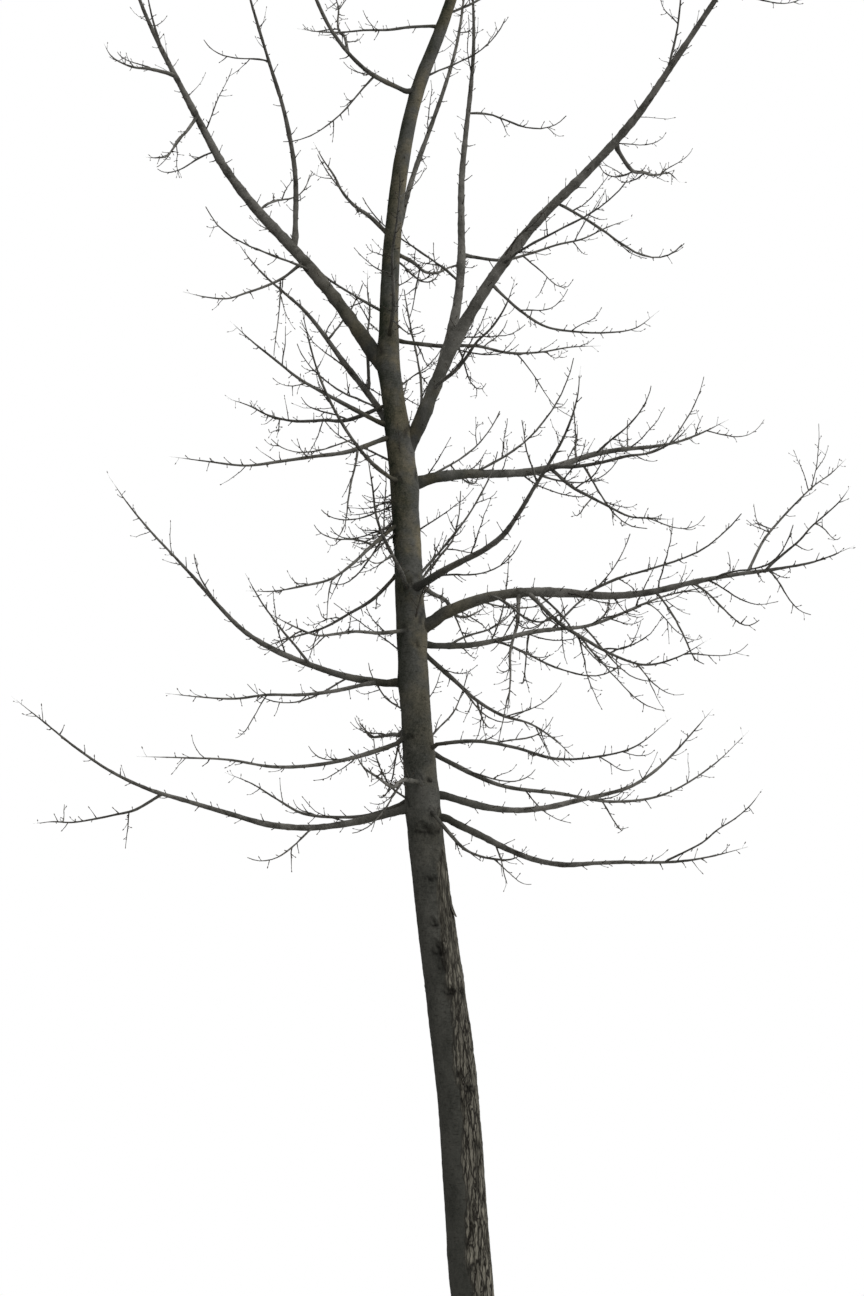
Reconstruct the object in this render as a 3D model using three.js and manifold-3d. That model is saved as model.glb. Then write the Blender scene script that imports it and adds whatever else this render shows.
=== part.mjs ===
// A bare winter tree: one leaning trunk, whole from a flat cut at ground level to its tip,
// and the boughs, forks and leaders that it carries. Millimetres, +Z up. +X is the side the
// right-hand boughs reach to, and -Y is the front.
import * as THREE from "three";
import Module from "manifold-3d";

const wasm = await Module();
wasm.setup();

// ---- Driving dimensions -------------------------------------------------------------------

const TREE_HEIGHT = 13200;        // ground to the tip of the trunk
const TRUNK_GIRTH = 273;          // across the trunk, clear of the root flare
const ROOT_FLARE = 1.5;           // width at the ground, as a multiple of the trunk's
const FLARE_HEIGHT = 300;         // height in which the flare dies away to a third
const FLARE_LOBES = 5;            // buttresses round the foot
const LOBE_DEPTH = 0.09;          // how far a buttress stands out, as a share of the girth
const SEAT_GAP = 0.3;             // clearance between a bough and what carries it
const COLLAR_SWELL = 0.28;        // extra girth where a bough leaves its carrier
const FOOT_SHARE = 0.35;          // width of a bough's hidden foot, as a share of its girth
const CARRIER_SHARE = 0.8;        // most of its carrier's girth that a bough may have
const HOLD = 0.36;                // how long a bough keeps the climb of its foot and of its tip
const WANDER = 0.012;             // crookedness, as a share of a bough's length
const TIP_GIRTH = 7;              // across a bough just short of its tip
const TAPER_POWER = 1;            // how the taper is shared out: 1 thins evenly to the tip
const SEARCH_STEPS = 240;         // spots tried along a carrier's axis

const TRUNK_SIDES = 12;
const TRUNK_RINGS = 26;
const STOUT_GIRTH = 48;           // boughs this thick get more sides and rings
const STOUT_SIDES = 8;
const STOUT_RINGS = 9;
const SLIM_SIDES = 6;
const SLIM_RINGS = 5;
const FOOT_RINGS = [0, 90, 200, 360, 600];   // heights of the rings round the root flare
const FIRST_STEM_RING = 1000;     // height from which the trunk's rings are evenly spaced
const COLLAR_RINGS = [0, 0.8, 2.2];          // rings past the carrier's bark, in girths
const ROUTE_POINTS = 9;           // points a bough's route is drawn through

const BARK = 0x3c3b37;
const YOUNG_BARK = 0x43423e;
const BARK_ROUGHNESS = 0.9;

// ---- The trunk's stations: height, sideways lean, depth lean, girth --------------------------

const TRUNK_STATIONS = [
  { height: 0, side: 0, depth: 0, girth: TRUNK_GIRTH },
  { height: 120, side: 0, depth: 0, girth: TRUNK_GIRTH },
  { height: 900, side: -72, depth: 5, girth: 282 },
  { height: 2200, side: -167, depth: 20, girth: 288 },
  { height: 3200, side: -296, depth: 30, girth: 268 },
  { height: 3850, side: -375, depth: 30, girth: 250 },
  { height: 5300, side: -480, depth: 20, girth: 203 },
  { height: 6500, side: -540, depth: 0, girth: 205 },
  { height: 7450, side: -650, depth: -20, girth: 150 },
  { height: 8800, side: -600, depth: -10, girth: 122 },
  { height: 9700, side: -450, depth: 30, girth: 108 },
  { height: 10500, side: -190, depth: 60, girth: 88 },
  { height: 11900, side: 150, depth: 20, girth: 54 },
  { height: TREE_HEIGHT, side: 260, depth: -30, girth: 8 },
];

// ---- The boughs ------------------------------------------------------------------------------
// Each row: its name; its carrier; the height where it leaves the trunk, or the share of a bough's
// length; its tip; its climb in degrees at its foot and at its tip; its girth; and how long it
// keeps the climb of its foot, where that differs from the usual.

function bough(name, on, at, tip, climb, girth, hold = HOLD) {
  return { name, on, at, tip, climb, girth, hold };
}

const BOUGHS = [
  // left side, from the lowest up
  bough("left-lowest", "trunk", 4080, [-3250, -500, 4750], [-20, 39], 56, 0.42),
  bough("left-lowest-fork", "left-lowest", 0.6, [-3200, 250, 3980], [-28, 0], 24),
  bough("left-inner", "trunk", 4180, [-1900, 900, 4480], [-26, 22], 32, 0.5),
  bough("left-drooping", "trunk", 4645, [-2300, -900, 4240], [-46, -5], 36, 0.32),
  bough("left-great", "trunk", 4970, [-2800, 500, 6700], [-4, 54], 56, 0.33),
  bough("left-great-shoot", "left-great", 0.26, [-1650, -450, 5650], [30, 45], 22),
  bough("left-great-under", "left-great", 0.09, [-2150, -700, 4720], [-16, 0], 32),
  bough("left-short", "trunk", 5350, [-1400, -1600, 5050], [-10, 10], 30),
  bough("left-fallen", "trunk", 5900, [-1680, 1200, 5520], [-42, -5], 30),
  bough("left-hanging", "trunk", 6250, [-1600, -900, 5390], [-50, -5], 30),
  bough("left-stem", "trunk", 6080, [-1940, 1100, 8970], [88, 55], 60, 0.42),
  bough("left-stem-fork", "left-stem", 0.36, [-850, 900, 8620], [90, 82], 28),
  bough("left-fan-steep", "trunk", 6480, [-1250, -1100, 7450], [-15, 78], 34, 0.3),
  bough("left-fan-low", "trunk", 6860, [-2150, -900, 6360], [-28, 0], 38),
  bough("left-fan-back", "trunk", 7130, [-2020, 1500, 7740], [-8, 28], 36),
  bough("left-fan-upper", "trunk", 6900, [-1800, -500, 7550], [15, 40], 38),
  bough("left-topmost", "trunk", 8450, [-1300, 800, 9700], [42, 60], 38),

  // the left leader and what it carries
  bough("left-leader", "trunk", 7300, [-2970, 900, 12100], [58, 86], 112),
  bough("left-upright", "left-leader", 0.258, [-1950, -800, 11100], [92, 66], 46, 0.46),
  bough("left-leader-droop", "left-leader", 0.235, [-2150, -500, 7780], [-45, 0], 26),
  bough("left-leader-arm", "left-leader", 0.56, [-2500, -250, 9000], [-50, -20], 28),
  bough("left-leader-hook", "left-leader", 0.65, [-2950, 250, 10270], [0, 65], 32),

  // the top
  bough("top-left", "trunk", 9700, [-1450, -900, 11250], [-12, 82], 40, 0.55),
  bough("top-left-fork", "top-left", 0.3, [-1150, 700, 11200], [50, 72], 26),
  bough("top-cross", "trunk", 10300, [-1350, -500, 9940], [-14, -6], 26),
  bough("second-leader", "trunk", 8250, [100, 1300, 12400], [69, 80], 48),
  bough("crown-front", "trunk", 10700, [-250, -1300, 12300], [35, 70], 40),
  bough("crown-right", "trunk", 11100, [950, -250, 12600], [30, 70], 36),

  // front and back
  bough("front-low", "trunk", 4250, [-800, -2300, 4000], [-10, 10], 36),
  bough("front-dip", "trunk", 4150, [310, -1000, 3600], [-50, 18], 30),
  bough("front-middle", "trunk", 5650, [-750, -2100, 6000], [0, 35], 36),
  bough("front-high", "trunk", 7600, [-550, -1500, 8350], [10, 45], 34),
  bough("back-low", "trunk", 4700, [-950, 2300, 5200], [0, 25], 44),
  bough("back-middle", "trunk", 5800, [150, 2300, 6200], [0, 30], 44),
  bough("back-upper", "trunk", 7280, [-550, 2000, 8150], [10, 45], 38),
  bough("back-high", "trunk", 8350, [0, 1700, 9100], [5, 35], 34),

  // right side, from the lowest up
  bough("right-lowest", "trunk", 4070, [1800, -600, 3680], [-33, 11], 54, 0.45),
  bough("right-lowest-rise", "right-lowest", 0.76, [1850, -1000, 4000], [20, 45], 22),
  bough("right-second", "trunk", 4190, [1800, 800, 4950], [-13, 50], 56, 0.5),
  bough("right-third", "trunk", 4530, [2150, 1300, 4890], [-28, 50], 36),
  bough("right-fourth", "trunk", 4430, [1250, -1100, 4460], [58, 52], 30, 0.2),
  bough("right-great", "trunk", 5300, [2700, -300, 5900], [57, 25], 90, 0.2),
  bough("right-great-rise", "right-great", 0.76, [2850, 500, 6850], [60, 40], 34),
  bough("right-great-tip", "right-great", 0.8, [2600, -750, 6200], [35, 45], 26),
  bough("right-great-hang", "right-great", 0.26, [170, -900, 4500], [-60, -65], 30),
  bough("right-great-under", "right-great", 0.28, [1500, -1300, 4950], [-45, 25], 32),
  bough("right-fifth", "trunk", 5265, [1950, 1400, 6100], [2, 17], 48),
  bough("right-sweeping", "trunk", 5350, [800, 1300, 4650], [-50, -30], 38),
  bough("right-arching", "trunk", 5650, [650, -1700, 6700], [1, 85], 58),
  bough("right-sixth", "trunk", 6450, [2050, 1100, 7400], [32, 32], 82, 0.12),
  bough("right-sixth-fork", "right-sixth", 0.4, [1600, -200, 6900], [0, 45], 36),
  bough("right-sixth-droop", "right-sixth", 0.42, [1350, -750, 5950], [-40, -15], 30),
  bough("right-swinging", "trunk", 7620, [1050, 1200, 8080], [5, 18], 34),

  // the right leader and what it carries
  bough("right-leader", "trunk", 6450, [2900, -900, 11550], [87, 56], 110, 0.21),
  bough("right-upright", "right-leader", 0.15, [-20, 400, 11500], [63, 90], 84, 0.3),
  bough("right-leader-droop", "right-leader", 0.27, [1350, -300, 7720], [-58, 48], 24, 0.4),
  bough("right-leader-low", "right-leader", 0.12, [250, -1250, 7550], [10, 50], 34),
  bough("right-upright-arm", "right-upright", 0.27, [1280, 700, 8970], [-5, 25], 28),
  bough("right-leader-back", "right-leader", 0.5, [1750, 1300, 9600], [-20, 5], 36),
];

// ---- Limbs: a route, its length and its girth along it -----------------------------------------

function direction(bearing, climb) {
  const rise = THREE.MathUtils.degToRad(climb);
  const level = Math.cos(rise);
  return new THREE.Vector3(Math.cos(bearing) * level, Math.sin(bearing) * level, Math.sin(rise));
}

function trunkGirth(height) {
  const above = TRUNK_STATIONS.findIndex((station) => station.height >= height);
  const upper = TRUNK_STATIONS[Math.max(above, 1)];
  const lower = TRUNK_STATIONS[Math.max(above, 1) - 1];
  const share = (height - lower.height) / (upper.height - lower.height);
  const flare = 1 + (ROOT_FLARE - 1) * Math.exp(-height / FLARE_HEIGHT);
  return THREE.MathUtils.lerp(lower.girth, upper.girth, share) * flare;
}

function makeTrunk() {
  const stations = TRUNK_STATIONS.map((s) => new THREE.Vector3(s.side, s.depth, s.height));
  const route = new THREE.CatmullRomCurve3(stations);
  route.arcLengthDivisions = SEARCH_STEPS * 2;
  const length = route.getLength();
  const girthAt = (distance) => trunkGirth(Math.min(route.getPointAt(distance / length).z, TREE_HEIGHT));
  return { name: "trunk", route, length, girthAt };
}

// The distance along the trunk at which it reaches a height.
function distanceAtHeight(trunk, height) {
  let low = 0;
  let high = trunk.length;
  while (high - low > SEAT_GAP) {
    const middle = (low + high) / 2;
    if (trunk.route.getPointAt(middle / trunk.length).z < height) low = middle;
    else high = middle;
  }
  return low;
}

// A bough keeps the climb of its foot for a while, bends to the climb of its tip, and wanders a little.
function boughRoute(foot, row, order) {
  const tip = new THREE.Vector3(...row.tip);
  const span = foot.distanceTo(tip);
  const bearing = Math.atan2(tip.y - foot.y, tip.x - foot.x);
  const [footClimb, tipClimb] = row.climb;
  const leaving = foot.clone().addScaledVector(direction(bearing, footClimb), span * row.hold);
  const arriving = tip.clone().addScaledVector(direction(bearing, tipClimb), -span * HOLD);
  const bend = new THREE.CubicBezierCurve3(foot, leaving, arriving, tip);
  const across = direction(bearing + Math.PI / 2, 0);
  const points = bend.getSpacedPoints(ROUTE_POINTS).map((point, index, all) => {
    const share = index / (all.length - 1);
    const swing = Math.sin(Math.PI * share) * Math.sin(3 * Math.PI * share + order);
    point.addScaledVector(across, swing * span * WANDER);
    point.z += Math.sin(Math.PI * share) * Math.cos(4 * Math.PI * share + order) * span * WANDER;
    return point;
  });
  return new THREE.CatmullRomCurve3(points);
}

// How far along its route a bough comes out through its carrier's bark.
function exitDistance(route, length, carrier) {
  const axis = carrier.route.getSpacedPoints(SEARCH_STEPS);
  const stride = length / SEARCH_STEPS;
  let distance = stride;
  for (; distance < length / 2; distance += stride) {
    const point = route.getPointAt(distance / length);
    const gaps = axis.map((spot) => spot.distanceTo(point));
    const nearest = gaps.indexOf(Math.min(...gaps));
    if (gaps[nearest] > carrier.girthAt((carrier.length * nearest) / SEARCH_STEPS) / 2) break;
  }
  return distance;
}

function makeBough(row, carrier, order) {
  const along = carrier.name === "trunk" ? distanceAtHeight(carrier, row.at) : row.at * carrier.length;
  const foot = carrier.route.getPointAt(along / carrier.length);
  const route = boughRoute(foot, row, order);
  const length = route.getLength();
  const exit = exitDistance(route, length, carrier);
  const girth = Math.min(row.girth, carrier.girthAt(along) * CARRIER_SHARE);
  const girthAt = (distance) => {
    const share = Math.min(Math.max(distance - exit, 0) / (length - exit), 1);
    const plain = TIP_GIRTH + (girth - TIP_GIRTH) * (1 - share ** TAPER_POWER);
    const past = Math.max(distance - exit, 0) / girth;
    const inside = THREE.MathUtils.lerp(FOOT_SHARE, 1, Math.min(distance / exit, 1));
    return plain * inside * (1 + COLLAR_SWELL * Math.exp(-past * past));
  };
  return { name: row.name, carrier, foot, route, length, exit, girth, girthAt };
}

// ---- Solids: rings of bark along a route, closed by a flat foot and a point --------------------

function evenStations(from, to, count) {
  return Array.from({ length: count }, (_, k) => from + ((to - from) * k) / count);
}

function ringStations(limb) {
  if (limb.name === "trunk") {
    return [...FOOT_RINGS, ...evenStations(FIRST_STEM_RING, limb.length, TRUNK_RINGS - FOOT_RINGS.length)];
  }
  const collar = [0, ...COLLAR_RINGS.map((girths) => limb.exit + limb.girth * girths)];
  const rings = limb.girth >= STOUT_GIRTH ? STOUT_RINGS : SLIM_RINGS;
  const start = collar.at(-1) + (limb.length - collar.at(-1)) / (rings + 1);
  return [...collar, ...evenStations(start, limb.length, rings)];
}

function buttress(distance, angle) {
  return 1 + LOBE_DEPTH * Math.cos(FLARE_LOBES * angle) * Math.exp(-distance / FLARE_HEIGHT);
}

function sweep(limb, extra) {
  const isTrunk = limb.name === "trunk";
  const boughSides = limb.girth >= STOUT_GIRTH ? STOUT_SIDES : SLIM_SIDES;
  const sides = isTrunk ? TRUNK_SIDES : boughSides;
  const stations = ringStations(limb);
  const positions = [];
  const index = [];
  const heading = limb.route.getTangentAt(0);
  const across = new THREE.Vector3(1, 0, 0);
  if (Math.abs(heading.x) > Math.abs(heading.y)) across.set(0, 1, 0);
  stations.forEach((distance) => {
    const centre = limb.route.getPointAt(distance / limb.length);
    const along = limb.route.getTangentAt(distance / limb.length);
    across.addScaledVector(along, -across.dot(along)).normalize();
    const up = along.clone().cross(across);
    for (let side = 0; side < sides; side += 1) {
      const angle = (2 * Math.PI * side) / sides;
      const shape = isTrunk ? buttress(distance, angle) : 1;
      const radius = (limb.girthAt(distance) / 2) * shape + extra;
      const point = centre.clone().addScaledVector(across, Math.cos(angle) * radius);
      point.addScaledVector(up, Math.sin(angle) * radius);
      positions.push(point.x, point.y, point.z);
    }
  });
  const foot = positions.length / 3;
  const start = limb.route.getPointAt(0);
  const tip = limb.route.getPointAt(1);
  positions.push(start.x, start.y, start.z, tip.x, tip.y, tip.z);
  for (let side = 0; side < sides; side += 1) {
    const next = (side + 1) % sides;
    for (let ring = 0; ring + 1 < stations.length; ring += 1) {
      const low = ring * sides;
      const high = low + sides;
      index.push(low + side, low + next, high + next, low + side, high + next, high + side);
    }
    const last = (stations.length - 1) * sides;
    index.push(foot, next, side);
    index.push(last + side, last + next, foot + 1);
  }
  const mesh = { numProp: 3, vertProperties: new Float32Array(positions), triVerts: new Uint32Array(index) };
  return new wasm.Manifold(new wasm.Mesh(mesh));
}

// A bough is cut back to its carrier's bark, and to the collars of boughs that leave beside it.
function seatedSolid(limb, earlier) {
  const beside = earlier.filter((other) => other.carrier === limb.carrier);
  const cutters = [limb.carrier, ...beside];
  return cutters.reduce((solid, other) => solid.subtract(sweep(other, SEAT_GAP)), sweep(limb, 0));
}

function barkMesh(limb, solid, origin) {
  const { vertProperties, triVerts } = solid.getMesh();
  const geometry = new THREE.BufferGeometry();
  geometry.setAttribute("position", new THREE.BufferAttribute(new Float32Array(vertProperties), 3));
  geometry.setIndex(new THREE.BufferAttribute(new Uint32Array(triVerts), 1));
  geometry.translate(-origin.x, -origin.y, -origin.z);
  geometry.computeVertexNormals();
  const color = limb.name === "trunk" || limb.girth >= STOUT_GIRTH ? BARK : YOUNG_BARK;
  const material = new THREE.MeshStandardMaterial({ color, roughness: BARK_ROUGHNESS, metalness: 0 });
  const mesh = new THREE.Mesh(geometry, material);
  mesh.name = limb.name;
  mesh.position.copy(origin);
  return mesh;
}

// ---- The tree --------------------------------------------------------------------------------

function buildTree() {
  const tree = new THREE.Group();
  const trunk = makeTrunk();
  tree.add(barkMesh(trunk, sweep(trunk, 0), new THREE.Vector3()));
  const limbs = new Map([["trunk", trunk]]);
  BOUGHS.forEach((row, order) => {
    const limb = makeBough(row, limbs.get(row.on), order);
    tree.add(barkMesh(limb, seatedSolid(limb, [...limbs.values()]), limb.foot));
    limbs.set(row.name, limb);
  });
  return tree;
}

export default buildTree();
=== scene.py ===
# %% [markdown]
# # A bare winter tree
# The real thing is a young park tree in winter: one dark trunk that leans a little, level and
# drooping boughs low down, leaders that spread into the crown, and thousands of twigs. Solid bark
# limbs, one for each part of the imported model, stand first. Shoots, twigs, spurs and buds are then
# grown from them by one seeded rule, as they grow on a real tree. All sizes are in metres.

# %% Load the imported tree
import math
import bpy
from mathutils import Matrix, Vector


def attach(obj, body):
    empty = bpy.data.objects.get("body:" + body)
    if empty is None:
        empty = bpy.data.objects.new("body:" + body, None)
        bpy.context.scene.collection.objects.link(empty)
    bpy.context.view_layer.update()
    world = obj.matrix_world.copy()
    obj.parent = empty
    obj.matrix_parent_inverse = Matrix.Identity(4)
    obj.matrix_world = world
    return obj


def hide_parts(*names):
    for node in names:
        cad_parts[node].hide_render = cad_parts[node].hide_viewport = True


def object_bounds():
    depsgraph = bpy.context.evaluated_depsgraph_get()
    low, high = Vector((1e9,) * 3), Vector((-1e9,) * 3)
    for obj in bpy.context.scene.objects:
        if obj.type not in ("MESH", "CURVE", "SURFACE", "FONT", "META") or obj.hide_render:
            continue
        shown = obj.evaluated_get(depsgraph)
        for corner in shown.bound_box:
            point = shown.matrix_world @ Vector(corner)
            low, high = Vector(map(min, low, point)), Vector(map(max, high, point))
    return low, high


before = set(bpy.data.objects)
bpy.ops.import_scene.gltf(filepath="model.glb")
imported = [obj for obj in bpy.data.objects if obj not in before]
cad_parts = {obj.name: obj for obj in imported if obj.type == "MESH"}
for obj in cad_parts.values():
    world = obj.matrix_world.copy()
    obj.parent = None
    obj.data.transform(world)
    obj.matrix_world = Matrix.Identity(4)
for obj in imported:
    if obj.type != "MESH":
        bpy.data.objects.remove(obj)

from types import SimpleNamespace
import bpy
import numpy as np
from mathutils import Vector, noise
from mathutils.bvhtree import BVHTree

cad_box = [list(corner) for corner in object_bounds()]
LOW, HIGH = np.array(cad_box[0]), np.array(cad_box[1])
bpy.ops.object.select_all(action="DESELECT")
print("limbs in the frame:", len(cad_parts), "box:", LOW.round(2), HIGH.round(2))

# %% [markdown]
# ## Where the camera stands
# The tree is seen by someone standing on the ground a tree's height away and looking up. A low
# camera tipped upwards gives that. It could stand further off with a longer lens, but then the low
# boughs would no longer be seen from below and the high ones from further below.

# %% Put up the camera
CAMERA_AT = (-0.33, -14.0, 1.6)
CAMERA_TILT = 14.5
CAMERA_LENS = 55.56


def newest():
    """The object that the last operator made."""
    return bpy.context.view_layer.objects.active


bpy.ops.object.camera_add(location=CAMERA_AT, rotation=(math.radians(90 + CAMERA_TILT), 0, 0))
camera = newest()
camera.data.lens = CAMERA_LENS
bpy.context.scene.camera = camera
print("camera stands", abs(CAMERA_AT[1]), "m away and looks up", CAMERA_TILT, "degrees")

# %% [markdown]
# ## Reading the limbs
# A tree is drawn limb by limb, and every later step asks the same things of a limb: the line
# along its middle, and how thick it is on the way. Both could be written down as numbers, but
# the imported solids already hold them. Each one is a sleeve of rings that closes to a point, so a
# copy with its doubles merged can be walked ring by ring, from the point back to the foot.

# %% Walk one solid's rings, from its tip back
TRUNK = "trunk"
MERGE = 0.00005


def only(piece):
    """Selects one piece and nothing else, ready for an operator."""
    bpy.ops.object.select_all(action="DESELECT")
    piece.select_set(True)
    bpy.context.view_layer.objects.active = piece


def close_up(piece):
    """Joins doubled points and turns every face outwards."""
    only(piece)
    bpy.ops.object.mode_set(mode="EDIT")
    bpy.ops.mesh.select_all(action="SELECT")
    bpy.ops.mesh.remove_doubles(threshold=MERGE)
    bpy.ops.mesh.normals_make_consistent(inside=False)
    bpy.ops.object.mode_set(mode="OBJECT")


def merged_copy(node):
    """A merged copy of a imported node, to be read and then thrown away."""
    only(node)
    bpy.ops.object.duplicate()
    copy = newest()
    close_up(copy)
    return copy


def layers_from(start, neighbours):
    """The points in steps away from start: its neighbours, then theirs, and so on."""
    seen, layers = {start}, [[start]]
    while layers[-1]:
        reached = {far for near in layers[-1] for far in neighbours[near]} - seen
        seen |= reached
        layers.append(sorted(reached))
    return layers[:-1]


def rings_in(layers):
    """How many layers, counted from the end they start at, have as many points as the first."""
    counts = [len(layer) for layer in layers[1:]]
    return next((index for index, count in enumerate(counts) if count != counts[0]), len(counts))


def lengths_of(vectors):
    """The length of each vector."""
    return np.linalg.norm(vectors, axis=1)


def spread(points):
    """The mean distance of some points from their middle."""
    return float(lengths_of(points - points.mean(axis=0)).mean())


def read_limb(name):
    """A limb's ring middles and radii from its foot to its tip, its foot's points, its surface."""
    copy = merged_copy(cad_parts[name])
    points = np.array([vertex.co for vertex in copy.data.vertices])
    neighbours = [set() for _ in points]
    for edge in copy.data.edges:
        one, two = edge.vertices
        neighbours[one].add(two)
        neighbours[two].add(one)
    far = int(lengths_of(points - points.mean(axis=0)).argmax())
    other = int(lengths_of(points - points[far]).argmax())
    layers = max((layers_from(end, neighbours) for end in (far, other)), key=rings_in)
    rings = [points[layer] for layer in layers[1:1 + rings_in(layers)]]
    foot = [index for layer in layers[1 + len(rings):] for index in layer]
    limb = SimpleNamespace(
        name=name,
        middles=np.array([ring.mean(axis=0) for ring in reversed(rings)] + [points[layers[0][0]]]),
        widths=np.array([spread(ring) for ring in reversed(rings)] + [0.0]),
        foot=points[foot],
        surface=BVHTree.FromObject(copy, bpy.context.evaluated_depsgraph_get()),
    )
    bpy.data.objects.remove(copy, do_unlink=True)
    return limb


limbs = {name: read_limb(name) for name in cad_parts}
print("rings read:", sum(len(limb.widths) for limb in limbs.values()))

# %% [markdown]
# ## Which limb carries which
# A bough's wood runs into the middle of the limb that carries it, and only its bark stops at the
# collar. The carrier is found from the foot: some of its points lie close against the carrier's
# surface. Where they also touch a neighbour's collar, the thickest of the limbs they touch is the
# carrier. The bough's line is then led on to the carrier's middle, to the point that lets it run
# straightest, so that the two barks pass through each other and leave no gap. Last, its bends are
# rounded off.

# %% Find each bough's carrier and run its line into it
TOUCH = 0.0008
BEND_STEPS = 24
AXIS_POINTS = 240
LEAST_SLANT = 0.3


def unit(vectors):
    """Vectors of length 1 that point the same way."""
    return vectors / np.maximum(np.linalg.norm(vectors, axis=-1, keepdims=True), 1e-9)


def measure(line):
    """Each point's distance from the line's start, along the line."""
    steps = lengths_of(np.diff(line, axis=0))
    return np.concatenate([[0.0], np.cumsum(steps)])


def at(line, places):
    """The points that lie at given distances from the line's start."""
    reach = measure(line)
    return np.stack([np.interp(places, reach, line[:, axis]) for axis in range(3)], axis=1)


def rounded(line):
    """A curve through a line's points, with its bends rounded."""
    padded = np.vstack([2 * line[0] - line[1], line, 2 * line[-1] - line[-2]])
    t = np.linspace(0.0, 1.0, BEND_STEPS, endpoint=False)[:, None]
    bends = []
    for index in range(1, len(padded) - 2):
        before, start, end, after = padded[index - 1:index + 3]
        bends.append(0.5 * (2 * start + (end - before) * t
                            + (2 * before - 5 * start + 4 * end - after) * t ** 2
                            + (3 * start - before - 3 * end + after) * t ** 3))
    return np.vstack(bends + [line[-1:]])


def smooth(limb):
    """Gives a limb its axis, its radii and its length, from its rings."""
    curve = rounded(limb.middles)
    reach = measure(curve)
    places = np.linspace(0.0, reach[-1], AXIS_POINTS)
    limb.axis = at(curve, places)
    limb.radii = np.interp(places, reach[::BEND_STEPS], limb.widths)
    limb.length = float(reach[-1])


def touched(limb, other):
    """The points of a limb's foot that lie against another limb's surface."""
    gaps = [other.surface.find_nearest(Vector(point), TOUCH) for point in limb.foot]
    return limb.foot[[gap[0] is not None for gap in gaps]]


def lead_into(limb, carrier):
    """Leads a limb's line on into its carrier, from the point of the carrier's axis between the
    ends of the limb's foot that lets the line run straightest."""
    foot = touched(limb, carrier)
    closest = [int(lengths_of(carrier.axis - point).argmin()) for point in foot]
    choices = np.arange(min(closest), max(closest) + 1)
    first, second = limb.middles[:2]
    leads = unit(first - carrier.axis[choices])
    best = int((leads @ (second - first)).argmax())
    start = int(choices[best])
    along = unit(carrier.axis[min(start + 1, AXIS_POINTS - 1)] - carrier.axis[max(start - 1, 0)])
    slant = np.linalg.norm(np.cross(leads[best], along))
    limb.bark_at = float(carrier.radii[start]) / max(slant, LEAST_SLANT)
    nearest = int(lengths_of(carrier.axis - foot.mean(axis=0)).argmin())
    limb.seat = carrier.axis[nearest]
    limb.middles = np.vstack([carrier.axis[start], limb.middles])
    limb.widths = np.concatenate([limb.widths[:1], limb.widths])


for limb in limbs.values():
    smooth(limb)

for limb in limbs.values():
    limb.carrier = None
    if limb.name != TRUNK:
        near = [other for other in limbs.values() if other is not limb and len(touched(limb, other))]
        limb.carrier = max(near, key=lambda other: other.radii.max()).name

for limb in limbs.values():
    if limb.carrier:
        lead_into(limb, limbs[limb.carrier])
for limb in limbs.values():
    smooth(limb)
trunk = limbs[TRUNK]
clear_stem = float(min(limb.seat[2] for limb in limbs.values() if limb.carrier == TRUNK))
print("trunk clear of boughs up to", round(clear_stem, 2), "m")
print("carried by the trunk:", sum(limb.carrier == TRUNK for limb in limbs.values()))
print("carried by boughs:", sum(limb.carrier not in (None, TRUNK) for limb in limbs.values()))

# %% [markdown]
# ## Shader maths
# Bark colour is a sum of patterns: blotches, rings, cracks and specks. Written as node links such
# a sum is hard to read, so a small class wraps a socket and lets Python's own signs build the
# Math nodes. Every other node comes from one method, so each finish below reads like a recipe.

# %% A wrapped socket, and a recipe that makes nodes
DULL = 0.06
WAVE_SCALE = 14.0
SCREEN_CURVE = 2.2
# the Mix node's sockets for colours
MIX_FIRST, MIX_SECOND, MIX_RESULT = 6, 7, 2


class Amount:
    """A number that varies over a surface: signs between amounts add Math nodes."""

    def __init__(self, recipe, socket):
        self.recipe = recipe
        self.socket = socket

    def math(self, operation, first, second):
        return self.recipe.node("Math", {"operation": operation}, {0: first, 1: second})

    def __add__(self, other):
        return self.math("ADD", self, other)

    def __sub__(self, other):
        return self.math("SUBTRACT", self, other)

    def __rsub__(self, other):
        return self.math("SUBTRACT", other, self)

    def __mul__(self, other):
        return self.math("MULTIPLY", self, other)

    __radd__ = __add__
    __rmul__ = __mul__

    def __abs__(self):
        return self.math("ABSOLUTE", self, 0.0)


class Recipe:
    """A tree of nodes in the making, for a finish or for the sky."""

    def __init__(self, tree):
        self.tree = tree

    def node(self, kind, settings=None, inputs=None, output=0):
        """Adds a node: its settings first, then its sockets' values or links."""
        made = self.tree.nodes.new("ShaderNode" + kind)
        for key, value in (settings or {}).items():
            setattr(made, key, value)
        for key, value in (inputs or {}).items():
            self.feed(made.inputs[key], value)
        return Amount(self, made.outputs[output])

    def feed(self, socket, value):
        if isinstance(value, Amount):
            self.tree.links.new(value.socket, socket)
        else:
            socket.default_value = value

    def ramp(self, value, low, high):
        """0 where a value is under low, 1 where it is over high. A low above the high turns it
        round: 1 under the high, 0 over the low."""
        inputs = {"Value": value, "From Min": low, "From Max": high}
        return self.node("MapRange", {"clamp": True}, inputs)


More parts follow.
